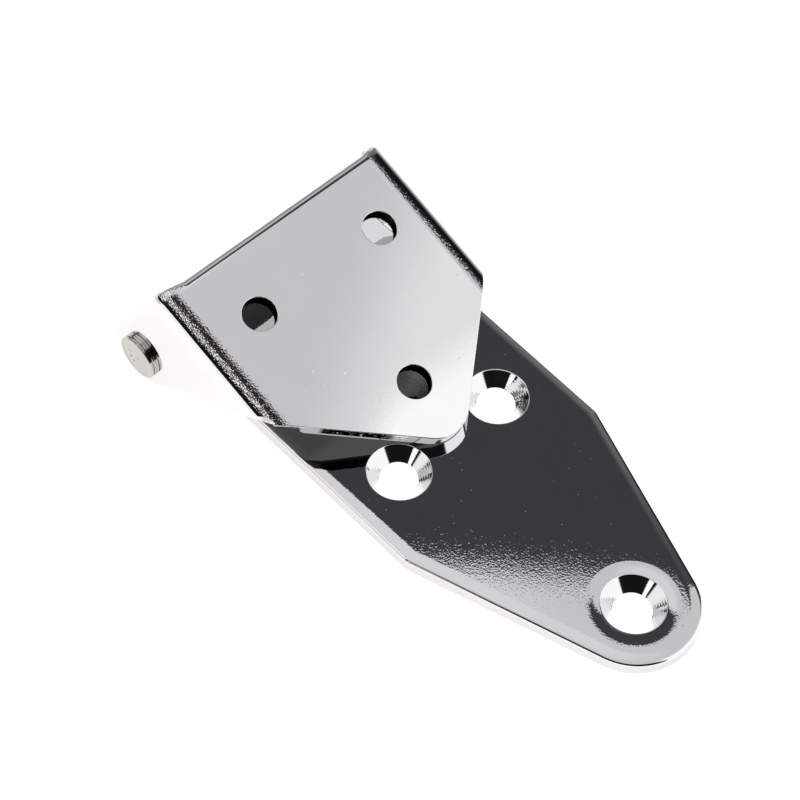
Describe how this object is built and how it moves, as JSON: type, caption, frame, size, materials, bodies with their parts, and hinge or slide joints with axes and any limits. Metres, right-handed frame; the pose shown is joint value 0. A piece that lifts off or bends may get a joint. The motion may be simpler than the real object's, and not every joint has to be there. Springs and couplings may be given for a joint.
{
  "type": "hatch hinge",
  "caption": "Plated sheet-steel hatch hinge: long tapered strap leaf with countersunk holes and a rolled eye, pinned between the ears of a folded channel bracket.",
  "frame": {"origin": "midway between the strap's pair of screw holes, on the strap's mounting face", "axes": "+X from the pin towards the strap's tip, +Y along the pin, +Z out of the strap's countersunk face"},
  "size_m": [0.1008, 0.0486, 0.0264],
  "materials": {
    "plated_strap": "bright nickel-chrome plate, mirror smooth",
    "plated_bracket": "bright nickel-chrome plate, fine orange peel on the bends",
    "plated_pin": "plated, head riveted flat with small dents"
  },
  "bodies": {
    "strap": {"strap_leaf": "plated_strap"},
    "bracket": {"bracket_leaf": "plated_bracket", "hinge_pin": "plated_pin"}
  },
  "joints": [
    {"name": "leaf_hinge", "type": "hinge", "parent": "strap", "child": "bracket", "pos_m": [-0.045, 0, -0.00305], "axis": [0, -1, 0], "range_deg": [0, 280]}
  ]
}
